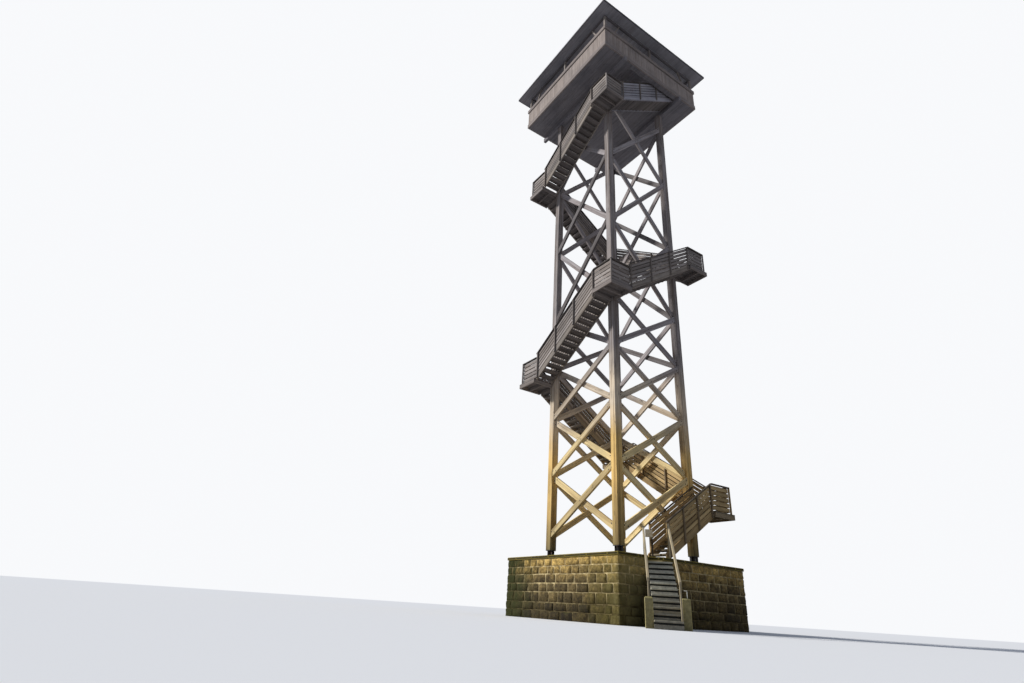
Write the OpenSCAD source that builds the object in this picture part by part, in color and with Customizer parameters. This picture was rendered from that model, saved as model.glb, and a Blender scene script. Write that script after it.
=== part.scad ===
// Timber fire lookout tower on a stone plinth.
// Units are millimetres, +Z is up and the origin is the centre of the plinth's underside.
// The side facing -Y carries the entrance; the stair climbs anticlockwise seen from above.

/* [Plinth] */
// How far the plinth wall stands out past the posts' outer faces
plinth_out = 1040; // [1010:10:1150]
// Height of the plinth with its coping
plinth_h = 2100; // [1900:10:2400]
// Thickness of the coping slabs
coping_h = 110; // [80:5:160]
// Overhang of the coping past the wall
coping_over = 50; // [20:5:90]
// Width of the coping slabs
coping_w = 500; // [460:10:560]

/* [Entrance stair] */
// Number of risers from the ground to the plinth top
entry_risers = 12; // [11:1:13]
// Height of the lowest riser, which is taller than the others
entry_first = 220; // [180:5:240]
// Going of each entrance step
entry_going = 300; // [270:5:320]
// Width of the entrance stair
entry_w = 770; // [700:10:900]
// Thickness of each stone slab
entry_slab = 55; // [45:5:70]
// How far each slab stands out over the core below it
entry_nosing = 45; // [20:5:60]
// Where the middle of the top riser stands along X
entry_x = -1200; // [-1300:10:-1100]
// How far the middle of the top riser stands in from the face of the plinth wall
entry_in = 40; // [0:5:70]
// Turn of the entrance stair from the Y axis
entry_turn = 45; // [40:1:50]
// Side of each stone bollard
bollard_w = 225; // [200:5:260]
// Height of the bollards
bollard_h = 790; // [740:10:880]
// Height of the chamfered top of the bollards
bollard_cap = 30; // [20:2:50]
// Distance from the lowest riser to the middle of the bollards
bollard_in = 330; // [200:10:450]

/* [Entrance rails] */
// Width of the pale handrail bars
entry_rail_w = 70; // [50:5:90]
// Depth of the pale handrail bars
entry_rail_h = 100; // [80:5:120]
// Height of the handrails over the step edges
entry_rail_up = 900; // [850:10:980]
// Side of the posts under the handrails
entry_post_w = 50; // [40:5:60]
// How far the left handrail runs past the top riser
left_rail_past = 200; // [150:10:300]
// How far the right handrail runs past the top riser
right_rail_past = 400; // [360:10:420]
// Distance from the lowest riser to the right handrail's lower post
right_rail_from = 130; // [80:10:160]
// Thickness of the bent steel bar on the right bollard
hook_d = 20; // [14:1:28]
// Height of the bent steel bar
hook_h = 200; // [150:10:260]
// Reach of the bent steel bar towards the stair
hook_reach = 80; // [50:5:110]
// Width of the bare notice board
notice_w = 250; // [200:10:300]
// Height of the bare notice board
notice_h = 260; // [200:10:320]
// Thickness of the bare notice board
notice_t = 20; // [12:2:30]
// Height of the lower edge of the notice board over the plinth
notice_up = 700; // [600:10:800]
// Side of the notice post
notice_post_w = 50; // [40:2:70]
// Distance of the notice past the top riser
notice_ahead = 680; // [600:10:760]
// Distance of the notice to the left of the middle of the entrance stair
notice_left = 190; // [150:10:260]

/* [Frame] */
// Distance from the middle to the outer face of the posts
frame_half = 2080; // [2040:5:2100]
// Side of the square posts
post_w = 300; // [260:5:320]
// Height of the steel shoes under the posts
shoe_h = 340; // [260:10:400]
// Thickness of the shoe plates
shoe_t = 16; // [10:1:24]
// How far the shoes' foot plates stand out past the posts
shoe_out = 50; // [30:5:60]
// Spacing of the upright plates in each shoe
shoe_gap = 110; // [90:5:130]
// Height over the plinth at which the braces begin
brace_from = 830; // [780:10:900]
// Height of each of the lower brace panels
brace_low_h = 2440; // [2380:10:2460]
// Number of lower brace panels
brace_low_n = 4; // [4:1:4]
// Height of each of the upper brace panels
brace_high_h = 3980; // [3900:10:4000]
// Number of upper brace panels
brace_high_n = 3; // [3:1:3]
// Depth of the brace bars
brace_h = 240; // [200:5:260]
// Thickness of the brace bars
brace_t = 95; // [70:5:100]
// How far the braces stand back from the posts' outer faces
brace_back = 15; // [10:1:30]

/* [Winding stair] */
// Width of the stair and its railing outside the posts' outer faces
ring_w = 960; // [940:5:980]
// How far the landings run in past the posts' outer faces
landing_lap = 120; // [110:5:130]
// How far the landings stand out past their railing
landing_lip = 60; // [40:5:70]
// Number of risers of a full flight
flight_risers = 16; // [16:1:16]
// Number of risers of the first short flight
first_risers = 11; // [11:1:11]
// Thickness of the treads
tread_t = 55; // [45:1:60]
// Overlap of each tread past the one above
tread_lap = 90; // [60:5:110]
// Clearance between the posts and the inner stringers
inner_gap = 15; // [10:1:25]
// Thickness of the stringers
stringer_t = 60; // [50:2:70]
// Height of the stringers under the line of the tread edges
stringer_low = 250; // [230:5:260]
// Height of the stringers over the line of the tread edges
stringer_high = 40; // [20:5:60]
// Thickness of the landing decks
landing_t = 45; // [35:1:55]
// Depth of the landing beams
landing_beam_h = 160; // [140:5:180]

/* [Stair railing] */
// Height of the top of the handrail over the tread edges and decks
rail_up = 1050; // [1000:10:1100]
// Number of boards in each railing
rail_boards_n = 5; // [4:1:5]
// Thickness of the railing boards
rail_board_t = 30; // [24:1:34]
// Gap between the railing boards
rail_gap = 30; // [20:1:40]
// Side of the railing posts
rail_post_w = 60; // [50:2:64]
// Distance of the end posts from the ends of each flight
rail_post_in = 80; // [60:5:90]
// Number of bays of railing between the posts of a flight
rail_bays = 3; // [2:1:4]
// Thickness of the handrail
handrail_t = 45; // [35:1:55]
// Width of the handrail
handrail_w = 100; // [90:2:110]

/* [Lookout cabin] */
// How far the parapet stands out past the posts' outer faces
cabin_out = 1280; // [1250:10:1300]
// Height of the cabin floor over the ground
floor_z = 26260; // [26240:10:26280]
// Thickness of the floor boards
deck_t = 50; // [40:2:60]
// Depth of the floor joists
joist_h = 180; // [160:5:190]
// Width of the floor joists
joist_w = 100; // [80:5:120]
// Thickness of the boarding under the joists
soffit_t = 30; // [20:2:36]
// Headroom over the tread edges at the edge of the stair opening
headroom = 2000; // [1950:10:2050]
// Depth of the two main beams
main_beam_h = 280; // [240:5:300]
// Width of the two main beams
main_beam_w = 155; // [120:5:180]
// How far the main beams stand out past the parapet
main_beam_over = 90; // [60:5:120]
// Thickness of the parapet boards
parapet_t = 40; // [30:2:46]
// Height of the parapet over the underside of the floor
parapet_h = 1440; // [1400:10:1480]
// Height of the parapet rail
parapet_rail_h = 220; // [180:5:240]
// How far the parapet rail stands out past the boards
parapet_rail_out = 50; // [40:2:60]
// Gap between the parapet boards and the rail
parapet_gap = 35; // [20:1:45]
// Height of the strip along the foot of the parapet
skirt_h = 260; // [200:5:280]
// Thickness of the strip along the foot of the parapet
skirt_t = 22; // [16:1:28]
// Side of the cabin posts
cabin_post_w = 110; // [100:5:130]
// Reach of the knee braces along the wall plate
knee_l = 880; // [800:10:940]
// Width of the knee braces
knee_w = 80; // [60:2:90]
// Depth of the wall plates
plate_h = 110; // [90:5:130]

/* [Roof] */
// How far the eaves stand out past the parapet
eaves_out = 505; // [460:5:540]
// Height of the roof's lower edge over the cabin floor
eaves_up = 2180; // [2120:10:2260]
// Pitch of the roof
roof_pitch = 18; // [16:1:20]
// Thickness of the roof boarding and cover measured upright
roof_t = 80; // [60:2:100]
// Thickness of the eaves boards
fascia_t = 30; // [24:2:36]
// Height of the eaves boards
fascia_h = 110; // [105:5:130]
// How far the eaves boards hang below the ceiling
fascia_drop = 5; // [2:1:10]
// Thickness of the ceiling boarding under the eaves and the room
ceiling_t = 18; // [14:1:24]
// Width of the rafters
rafter_w = 90; // [70:5:110]
// Depth of the rafters measured upright
rafter_h = 130; // [100:5:150]
// How far the rafters' tails stand back from the eaves
rafter_back = 150; // [120:5:200]
// Number of rafters between the hips on each side
rafters_n = 5; // [5:2:5]

/* [Hidden] */
seat = 0.3;
flights_n = 9;
landings_n = 8;
sides_n = 4;
riser = (floor_z - plinth_h) / (first_risers + landings_n * flight_risers);
run_end = frame_half - landing_lap;
going = 2 * run_end / (flight_risers - 1);
slope = riser / going;
plinth_half = frame_half + plinth_out;
coping_outer = plinth_half + coping_over;
coping_inner = coping_outer - coping_w;
coping_z = plinth_h - coping_h;
entry_y = entry_in - plinth_half;
entry_riser = (plinth_h - entry_first) / (entry_risers - 1);
entry_run = entry_going * (entry_risers - 1);
entry_slope = entry_riser / entry_going;
entry_gap = 5;
bollard_x = entry_w / 2 + bollard_w / 2 + seat;
right_rail_x = entry_w / 2 - entry_post_w / 2;
first_post_face = foot_x(0) + rail_post_in - rail_post_w / 2;
right_rail_free = (first_post_face - entry_gap - entry_x
  - cos(entry_turn) * (right_rail_x + entry_rail_w / 2)) / sin(entry_turn);
right_rail_end = entry_run + min(right_rail_past, right_rail_free);
post_mid = frame_half - post_w / 2;
ring_out = frame_half + ring_w;
rail_face = ring_out - rail_post_w;
deck_out = ring_out + landing_lip;
inner_face = frame_half + inner_gap;
inner_rail_face = inner_face + stringer_t;
tread_in = inner_rail_face + seat;
tread_out = rail_face - stringer_t - seat;
landing_drop = landing_t + landing_beam_h;
cabin_half = frame_half + cabin_out;
soffit_z = floor_z - deck_t - joist_h - soffit_t;
main_beam_z = soffit_z - main_beam_h;
main_beam_in = run_end + 5;
opening_from = run_end - (headroom + floor_z - soffit_z) / slope;
opening_out = ring_out + 30;
opening_in = frame_half - 20;
cabin_in = cabin_half - parapet_t;
parapet_top = soffit_z + parapet_h;
roof_half = cabin_half + eaves_out;
eaves_z = floor_z + eaves_up;
shell_half = roof_half - fascia_t;
shell_inner = shell_half - 25;
plate_top = eaves_z - ceiling_t - seat;
plate_z = plate_top - plate_h;
board_low = stringer_high + rail_gap;
board_pitch = (rail_up - handrail_t - board_low) / rail_boards_n;

// Height of the landing or floor at the end of a flight
function level(i) = plinth_h + riser * (first_risers + flight_risers * i);
function steps(i) = i == 0 ? first_risers : flight_risers;
function foot_x(i) = run_end - (steps(i) - 1) * going;
function foot_z(i) = level(i) - steps(i) * riser;
// Height of the line through a flight's tread edges
function nose(i, x) = foot_z(i) + riser + (x - foot_x(i)) * slope;
// Height at which the braces of panel i meet the posts
function brace_z(i) = plinth_h + brace_from + min(i, brace_low_n) * brace_low_h
  + max(i - brace_low_n, 0) * brace_high_h;
// Height of the top of entrance step j
function entry_z(j) = entry_first + (j - 1) * entry_riser;
// Top of the entrance handrails at a distance from the lowest riser
function entry_rail_z(y) = entry_first + y * entry_slope + entry_rail_up;

// Turns a piece from the entrance side to another side of the tower
module side(k) {
  rotate([0, 0, 90 * k]) children();
}

// Upright profile in X and Z, extruded from y0 to y1
module upright(points, y0, y1) {
  translate([0, y1, 0]) rotate([90, 0, 0]) linear_extrude(height = y1 - y0) polygon(points);
}

// Box given by its two far corners
module block(a, b) {
  translate(a) cube(b - a);
}

// Bar along a flight between two heights measured from the tread edge line
module flight_bar(i, xa, xb, low, high, y0, y1) {
  upright([[xa, nose(i, xa) + low], [xb, nose(i, xb) + low],
    [xb, nose(i, xb) + high], [xa, nose(i, xa) + high]], y0, y1);
}

// Carries a piece into the frame of the entrance stair: X across, Y up the stair, zero at the lowest riser
module entry_frame() {
  translate([entry_x, entry_y, 0]) rotate([0, 0, -entry_turn]) translate([0, -entry_run, 0]) children();
}

// Space the entrance stair takes out of the plinth
module entry_notch() {
  half = entry_w / 2 + entry_gap;
  entry_frame() block([-half, -entry_going, -50], [half, entry_run + seat, plinth_h + 50]);
}

module plinth_wall() {
  color("dimgray") difference() {
    block([-plinth_half, -plinth_half, 0], [plinth_half, plinth_half, coping_z]);
    entry_notch();
  }
}

module plinth_coping() {
  color("darkseagreen") difference() {
    for (k = [0:sides_n - 1]) side(k)
      block([-coping_outer, -coping_outer, coping_z + seat], [coping_inner - seat, -coping_inner, plinth_h]);
    entry_notch();
  }
}

module plinth_floor() {
  inner = coping_inner - seat;
  color("gray") difference() {
    block([-inner, -inner, coping_z + seat], [inner, inner, plinth_h]);
    entry_notch();
  }
}

module entrance_core() {
  color("slategray") entry_frame() rotate([0, 0, 90])
    upright(concat([[entry_nosing, 0]],
      [for (j = [1:entry_risers - 1]) each [
        [(j - 1) * entry_going + entry_nosing, entry_z(j) - entry_slab],
        [min(j * entry_going + entry_nosing, entry_run), entry_z(j) - entry_slab]]],
      [[entry_run, 0]]), -entry_w / 2, entry_w / 2);
}

module entrance_slabs() {
  back = entry_nosing - 5;
  color("lightslategray") entry_frame() for (j = [1:entry_risers - 1])
    block([-entry_w / 2, (j - 1) * entry_going, entry_z(j) - entry_slab + seat],
      [entry_w / 2, min(j * entry_going + back, entry_run), entry_z(j)]);
}

module bollards() {
  half = bollard_w / 2;
  shaft = bollard_h - bollard_cap;
  profile = [[-half, 0], [half, 0], [half, shaft], [half - bollard_cap, bollard_h],
    [bollard_cap - half, bollard_h], [-half, shaft]];
  color("darkkhaki") entry_frame() for (s = [-1, 1]) translate([s * bollard_x, bollard_in, 0])
    intersection() {
      upright(profile, -half, half);
      rotate([0, 0, 90]) upright(profile, -half, half);
    }
}

// Handrail at x across the stair, from y0 to y1 along it, with its lower post standing at foot_level
module entrance_rail(x, y0, y1, foot_level) {
  under = entry_rail_h + seat;
  translate([x, 0, 0]) rotate([0, 0, 90]) {
    upright([[y0, entry_rail_z(y0) - entry_rail_h], [y1, entry_rail_z(y1) - entry_rail_h],
      [y1, entry_rail_z(y1)], [y0, entry_rail_z(y0)]], -entry_rail_w / 2, entry_rail_w / 2);
    for (foot = [[y0 + 20, foot_level], [y1 - entry_post_w - 20, plinth_h]]) {
      a = foot[0];
      b = a + entry_post_w;
      upright([[a, foot[1] + seat], [b, foot[1] + seat], [b, entry_rail_z(b) - under],
        [a, entry_rail_z(a) - under]], -entry_post_w / 2, entry_post_w / 2);
    }
  }
}

module entrance_rails() {
  color("burlywood") entry_frame() {
    entrance_rail(-bollard_x + 10, bollard_in - 50, entry_run + left_rail_past, bollard_h);
    entrance_rail(right_rail_x, right_rail_from, right_rail_end, entry_z(1));
  }
}

module bollard_hook() {
  r = hook_d / 2;
  color("darkslategray") entry_frame() translate([bollard_x + 40, bollard_in, bollard_h + seat]) {
    cylinder(h = hook_h, r = r, $fn = 16);
    translate([0, 0, hook_h - r]) rotate([0, -90, 0]) cylinder(h = hook_reach, r = r, $fn = 16);
  }
}

// Carries the notice to its place at the head of the entrance stair
module notice_place() {
  entry_frame() translate([-notice_left, entry_run + notice_ahead, plinth_h]) children();
}

module notice_post() {
  color("dimgray") notice_place()
    block([-notice_post_w / 2, 0, seat], [notice_post_w / 2, notice_post_w, notice_up + notice_h - 20]);
}

module notice_board() {
  right = notice_post_w / 2;
  color("silver") notice_place()
    block([right - notice_w, -notice_t - seat, notice_up], [right, -seat, notice_up + notice_h]);
}

module post_shoes() {
  half = post_w / 2;
  foot = half + shoe_out;
  web_top = shoe_h - shoe_t;
  color("#26262a") for (k = [0:sides_n - 1]) side(k) translate([-post_mid, -post_mid, plinth_h + seat]) {
    block([-foot, -foot, 0], [foot, foot, shoe_t]);
    block([-half, -half, web_top], [half, half, shoe_h]);
    for (s = [-1, 1])
      block([-half, (s * shoe_gap - shoe_t) / 2, shoe_t], [half, (s * shoe_gap + shoe_t) / 2, web_top]);
    block([-shoe_t / 2, -half, shoe_t], [shoe_t / 2, half, web_top]);
  }
}

module posts() {
  color("tan") for (k = [0:sides_n - 1]) side(k)
    block([-frame_half, -frame_half, plinth_h + shoe_h + 2 * seat],
      [-frame_half + post_w, -frame_half + post_w, main_beam_z - seat]);
}

// One side's crossed bars: those that rise to the right lie outside those that rise to the left
module face_braces(k) {
  x = frame_half - post_w - seat;
  lean = brace_h / 2 - 5;
  color("burlywood") side(k) for (dir = [1, -1]) for (i = [0:brace_low_n + brace_high_n - 1]) {
    y0 = -frame_half + brace_back + (dir > 0 ? 0 : brace_t + seat);
    za = brace_z(i) + lean;
    zb = brace_z(i + 1) - lean;
    half_h = brace_h / 2 * sqrt(1 + pow((zb - za) / (2 * x), 2));
    upright([[-dir * x, za - half_h], [dir * x, zb - half_h],
      [dir * x, zb + half_h], [-dir * x, za + half_h]], y0, y0 + brace_t);
  }
}

module braces_front() { face_braces(0); }
module braces_right() { face_braces(1); }
module braces_back() { face_braces(2); }
module braces_left() { face_braces(3); }

// Stringer of a flight; the first one is cut level where it stands on the plinth
module stringer(i, y0, y1) {
  xa = foot_x(i);
  xb = run_end - seat;
  xs = xa - stringer_t;
  if (i == 0)
    upright([[xs, plinth_h + seat], [xa + (stringer_low - riser) / slope, plinth_h + seat],
      [xb, nose(i, xb) - stringer_low], [xb, nose(i, xb) + stringer_high],
      [xs, nose(i, xs) + stringer_high]], y0, y1);
  else
    flight_bar(i, xa + seat, xb, -stringer_low, stringer_high, y0, y1);
}

module flight_stringers() {
  color("peru") for (i = [0:flights_n - 1]) side(i) {
    stringer(i, -rail_face, -rail_face + stringer_t);
    stringer(i, -inner_rail_face, -inner_face);
  }
}

module flight_treads() {
  color("sienna") for (i = [0:flights_n - 1]) side(i) for (j = [1:steps(i) - 1]) {
    x = foot_x(i) + (j - 1) * going;
    z = foot_z(i) + j * riser;
    block([x + seat, -tread_out, z - tread_t], [min(x + going + tread_lap, run_end - seat), -tread_in, z]);
  }
}

// Posts along a flight, cut to the slope at both ends
module flight_posts(i, low, high, y0, y1) {
  first = foot_x(i) + rail_post_in;
  last = run_end - rail_post_in;
  for (j = [0:rail_bays]) {
    x = first + (last - first) * j / rail_bays;
    flight_bar(i, x - rail_post_w / 2, x + rail_post_w / 2, low, high, y0, y1);
  }
}

module rail_posts() {
  top = rail_up - handrail_t - seat;
  color("#3c352e") {
    for (i = [0:flights_n - 1]) side(i)
      flight_posts(i, -stringer_low + 40, top, -ring_out, -rail_face - seat);
    for (i = [0:landings_n - 1]) side(i) translate([0, 0, level(i)])
      block([rail_face + seat, -ring_out, seat], [ring_out, -rail_face - seat, top]);
  }
}

module rail_boards() {
  color("wheat") for (j = [0:rail_boards_n - 1]) {
    low = board_low + j * board_pitch;
    high = low + board_pitch - rail_gap;
    inner = rail_face - rail_board_t;
    for (i = [0:flights_n - 1]) side(i)
      flight_bar(i, foot_x(i) + 2, run_end - 2, low, high, -rail_face, -inner);
    for (i = [0:landings_n - 1]) side(i) translate([0, 0, level(i)]) {
      block([run_end + 2, -rail_face, low], [rail_face, -inner, high]);
      block([inner, -inner + seat, low], [rail_face, -run_end - 2, high]);
    }
  }
}

module handrails() {
  low = rail_up - handrail_t;
  inner = ring_out - handrail_w;
  color("#3c352e") {
    for (i = [0:flights_n - 1]) side(i)
      flight_bar(i, foot_x(i) + 2, run_end - 2, low, rail_up, -ring_out, -inner);
    for (i = [0:landings_n - 1]) side(i) translate([0, 0, level(i)]) {
      block([run_end + 2, -ring_out, low], [ring_out, -inner, rail_up]);
      block([inner, -inner + seat, low], [ring_out, -run_end - 2, rail_up]);
    }
  }
}

module inner_posts() {
  color("#3c352e") for (i = [0:flights_n - 1]) side(i)
    flight_posts(i, stringer_high + seat, rail_up - handrail_t - seat, -inner_rail_face + seat, -inner_face);
}

module inner_boards() {
  color("wheat") for (i = [0:flights_n - 1]) side(i) for (j = [0:rail_boards_n - 1]) {
    low = board_low + j * board_pitch;
    flight_bar(i, foot_x(i) + 10, run_end - 10, low, low + board_pitch - rail_gap,
      -inner_rail_face - rail_board_t, -inner_rail_face);
  }
}

module inner_handrails() {
  color("#3c352e") for (i = [0:flights_n - 1]) side(i)
    flight_bar(i, foot_x(i) + 10, run_end - 10, rail_up - handrail_t, rail_up,
      -inner_rail_face - rail_board_t, -inner_face);
}

module landing_decks() {
  near = frame_half + 5;
  color("sienna") for (i = [0:landings_n - 1]) side(i)
    translate([0, 0, level(i) - landing_t]) linear_extrude(height = landing_t)
      polygon([[run_end, -deck_out], [deck_out, -deck_out], [deck_out, -run_end], [near, -run_end],
        [near, -near], [run_end, -near]]);
}

// Beams under each landing: two along the outer edges, two reaching in to the post and a joist between
module landing_beams() {
  w = stringer_t;
  near = frame_half + seat;
  far = deck_out - w - seat;
  mid = (run_end + deck_out) / 2;
  top = landing_beam_h - seat;
  color("peru") for (i = [0:landings_n - 1]) side(i) translate([0, 0, level(i) - landing_drop]) {
    block([run_end, -deck_out, 0], [deck_out, -deck_out + w, top]);
    block([deck_out - w, -far, 0], [deck_out, -run_end, top]);
    block([run_end, -far, 0], [run_end + w, -near, top]);
    block([near, -run_end - w, 0], [far, -run_end, top]);
    block([mid, -far, 0], [mid + w, -run_end - w - seat, top]);
  }
}

module main_beams() {
  end = cabin_half + main_beam_over;
  for (s = [-1, 1]) color("saddlebrown")
    block([s * main_beam_in - (s < 0 ? main_beam_w : 0), -end, main_beam_z],
      [s * main_beam_in + (s < 0 ? 0 : main_beam_w), end, soffit_z - seat]);
}

// Four panels round the stair opening in the cabin floor
module floor_panels(z, t, out) {
  gap = 1;
  block([-out, -opening_in + gap, z], [out, out, z + t]);
  block([-out, -out, z], [opening_from - gap, -opening_in, z + t]);
  block([run_end + gap, -out, z], [out, -opening_in, z + t]);
  block([opening_from, -out, z], [run_end, -opening_out, z + t]);
}

module cabin_soffit() {
  color("#3a332c") floor_panels(soffit_z, soffit_t - seat, cabin_in - seat);
}

module cabin_joists() {
  edge = cabin_in - seat;
  z0 = soffit_z + soffit_t;
  z1 = z0 + joist_h - seat;
  first = -opening_in + 2;
  last = edge - joist_w;
  inner_n = 4;
  color("saddlebrown") {
    block([-edge, -edge, z0], [edge, -edge + joist_w, z1]);
    for (j = [0:inner_n]) {
      y = first + (last - first) * j / inner_n;
      block([-edge, y, z0], [edge, y + joist_w, z1]);
    }
    for (x = [opening_from - joist_w, run_end])
      block([x, -edge + joist_w + seat, z0], [x + joist_w, first - seat, z1]);
  }
}

module cabin_deck() {
  color("sienna") floor_panels(floor_z - deck_t, deck_t, cabin_in - seat);
}

module parapet_panels() {
  top = parapet_top - parapet_rail_h - parapet_gap;
  color("wheat") for (k = [0:sides_n - 1]) side(k)
    block([-cabin_half, -cabin_half, soffit_z], [cabin_in - seat, -cabin_in, top]);
}

module parapet_rails() {
  out = cabin_half + parapet_rail_out;
  color("burlywood") for (k = [0:sides_n - 1]) side(k)
    block([-out, -out, parapet_top - parapet_rail_h], [cabin_in - seat, -cabin_in, parapet_top]);
}

module parapet_skirt() {
  out = cabin_half + seat;
  color("burlywood") for (k = [0:sides_n - 1]) side(k)
    block([-out - skirt_t, -out - skirt_t, soffit_z], [out - seat, -out, soffit_z + skirt_h]);
}

module cabin_posts() {
  w = cabin_post_w;
  near = -cabin_in + seat;
  color("tan") for (k = [0:sides_n - 1]) side(k) for (x = [near, -w / 2])
    block([x, near, floor_z + seat], [x + w, near + w, plate_z - seat]);
}

// Knee braces from the foot of each corner post up to the wall plates
module knee_braces() {
  foot = floor_z + seat;
  top = plate_z - seat;
  x0 = cabin_in - cabin_post_w - 2 * seat;
  w = knee_w * sqrt(1 + pow(knee_l / (top - foot), 2));
  y0 = -cabin_in + 20;
  color("tan") for (k = [0:sides_n - 1]) side(k) for (s = [-1, 1])
    upright([[s * x0, foot], [s * (x0 - knee_l), top], [s * (x0 - knee_l - w), top], [s * (x0 - w), foot]],
      y0, y0 + knee_w);
}

module wall_plates() {
  w = cabin_post_w;
  color("tan") for (k = [0:sides_n - 1]) side(k)
    block([-cabin_in, -cabin_in, plate_z], [cabin_in - w - seat, -cabin_in + w, plate_top]);
}

// Flat boarded ceiling from eaves to eaves, carried by the wall plates
module roof_ceiling() {
  edge = shell_half - seat;
  color("#3a332c") block([-edge, -edge, eaves_z - ceiling_t], [edge, edge, eaves_z - seat]);
}

// Rafter under a slope that falls by fall for each step outwards, cut level where it meets the ceiling
module rafter(d0, d1, fall, top) {
  apex = eaves_z + shell_inner * tan(roof_pitch);
  knee = (apex - rafter_h - eaves_z) / fall;
  rotate([0, 0, -90])
    upright([[d0, apex - d0 * fall - top], [d1, apex - d1 * fall - top], [d1, eaves_z], [knee, eaves_z],
      [d0, apex - d0 * fall - rafter_h]], -rafter_w / 2, rafter_w / 2);
}

module rafters() {
  fall = tan(roof_pitch);
  hip_fall = fall / sqrt(2);
  far = shell_inner - rafter_back;
  spacing = 2 * cabin_half / (rafters_n + 1);
  color("#4a4038") for (k = [0:sides_n - 1]) side(k) {
    rotate([0, 0, -45]) rafter(90, far * sqrt(2), hip_fall, rafter_w / 2 * hip_fall + seat);
    for (j = [0:rafters_n - 1]) {
      x = (j - (rafters_n - 1) / 2) * spacing;
      translate([x, 0, 0]) rafter(max(abs(x) + 160, 220), far, fall, seat);
    }
  }
}

module pyramid(half) {
  rotate([0, 0, 45]) cylinder(h = half * tan(roof_pitch), r1 = half * sqrt(2), r2 = 0, $fn = 4);
}

// Four roof slopes, cut apart along the hips
module roof_cover() {
  big = roof_half * 1.2;
  color("#4b4640") for (k = [0:sides_n - 1]) side(k) intersection() {
    translate([0, 0, eaves_z]) difference() {
      union() {
        block([-shell_half, -shell_half, 0], [shell_half, shell_half, roof_t]);
        translate([0, 0, roof_t]) pyramid(shell_half);
      }
      translate([0, 0, -1]) pyramid(shell_inner + 1 / tan(roof_pitch));
    }
    translate([0, -1, 0]) linear_extrude(height = eaves_z * 2) polygon([[0, 0], [-big, -big], [big, -big]]);
  }
}

module roof_fascia() {
  low = eaves_z - ceiling_t - fascia_drop;
  color("#5a5046") for (k = [0:sides_n - 1]) side(k)
    block([-roof_half, -roof_half, low], [shell_half, -shell_half - seat, low + fascia_h]);
}

plinth_wall();
plinth_coping();
plinth_floor();
entrance_core();
entrance_slabs();
bollards();
entrance_rails();
bollard_hook();
notice_post();
notice_board();
post_shoes();
posts();
braces_front();
braces_right();
braces_back();
braces_left();
flight_stringers();
flight_treads();
rail_posts();
rail_boards();
handrails();
inner_posts();
inner_boards();
inner_handrails();
landing_decks();
landing_beams();
main_beams();
cabin_soffit();
cabin_joists();
cabin_deck();
parapet_panels();
parapet_rails();
parapet_skirt();
cabin_posts();
knee_braces();
wall_plates();
roof_ceiling();
rafters();
roof_cover();
roof_fascia();
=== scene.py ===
import math
import random

import bmesh
import bpy
from mathutils import Matrix, Vector, noise


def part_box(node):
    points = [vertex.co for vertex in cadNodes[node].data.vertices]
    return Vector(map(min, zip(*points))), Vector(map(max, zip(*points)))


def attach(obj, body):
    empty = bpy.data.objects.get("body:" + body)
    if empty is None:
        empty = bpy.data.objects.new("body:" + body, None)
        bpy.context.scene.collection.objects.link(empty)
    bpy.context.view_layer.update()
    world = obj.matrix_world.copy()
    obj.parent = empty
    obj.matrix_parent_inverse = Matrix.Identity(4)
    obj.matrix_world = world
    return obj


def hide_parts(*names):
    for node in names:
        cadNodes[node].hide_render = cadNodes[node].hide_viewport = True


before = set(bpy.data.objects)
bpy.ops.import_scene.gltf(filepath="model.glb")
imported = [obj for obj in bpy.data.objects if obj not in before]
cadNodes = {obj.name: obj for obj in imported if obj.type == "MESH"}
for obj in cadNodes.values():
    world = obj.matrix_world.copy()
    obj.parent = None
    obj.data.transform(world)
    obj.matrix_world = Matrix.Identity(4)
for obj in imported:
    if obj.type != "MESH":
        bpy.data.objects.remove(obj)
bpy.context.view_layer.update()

scene = bpy.context.scene


def linear(red, green, blue):
    # screen colour from 0 to 255, to the linear colour that the shader wants
    def one(value):
        value = value / 255
        return value / 12.92 if value <= 0.04045 else ((value + 0.055) / 1.055) ** 2.4
    return (one(red), one(green), one(blue), 1.0)


def put(tree, kind, sockets=None, **settings):
    # adds a shader node, sets what it is, then fills or links its inputs
    node = tree.nodes.new("ShaderNode" + kind)
    for key, value in settings.items():
        setattr(node, key, value)
    for key, value in (sockets or {}).items():
        if isinstance(value, bpy.types.NodeSocket):
            tree.links.new(value, node.inputs[key])
        else:
            node.inputs[key].default_value = value
    return node


def sums(tree, operation, first, second=0.0, clamp=False):
    return put(tree, "Math", {0: first, 1: second}, operation=operation, use_clamp=clamp).outputs[0]


def times(tree, first, second, clamp=False):
    return sums(tree, "MULTIPLY", first, second, clamp)


def blend(tree, share, first, second, mode="MIX"):
    return put(tree, "Mix", {0: share, 6: first, 7: second},
               data_type="RGBA", blend_type=mode, clamp_factor=True).outputs[2]


def multiplied(tree, colour, factor):
    return blend(tree, 1.0, colour, factor, "MULTIPLY")


def toned(tree, share, colour, factor):
    # the colour where the share is none, the colour times the factor where it is full
    return blend(tree, share, colour, multiplied(tree, colour, (*factor, 1.0)))


def ranged(tree, value, low, high, newLow=0.0, newHigh=1.0, smooth=False):
    return put(tree, "MapRange", {0: value, 1: low, 2: high, 3: newLow, 4: newHigh}, clamp=True,
               interpolation_type="SMOOTHSTEP" if smooth else "LINEAR").outputs[0]


def stretched(tree, vector, scale):
    return put(tree, "VectorMath", {0: vector, 1: scale}, operation="MULTIPLY").outputs[0]


def noiseAt(tree, vector, scale, detail=3.0, roughness=0.55):
    return put(tree, "TexNoise", {"Vector": vector, "Scale": scale, "Detail": detail,
                                  "Roughness": roughness}).outputs["Fac"]


def upOf(tree, vector):
    return put(tree, "SeparateXYZ", {0: vector}).outputs[2]


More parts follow.
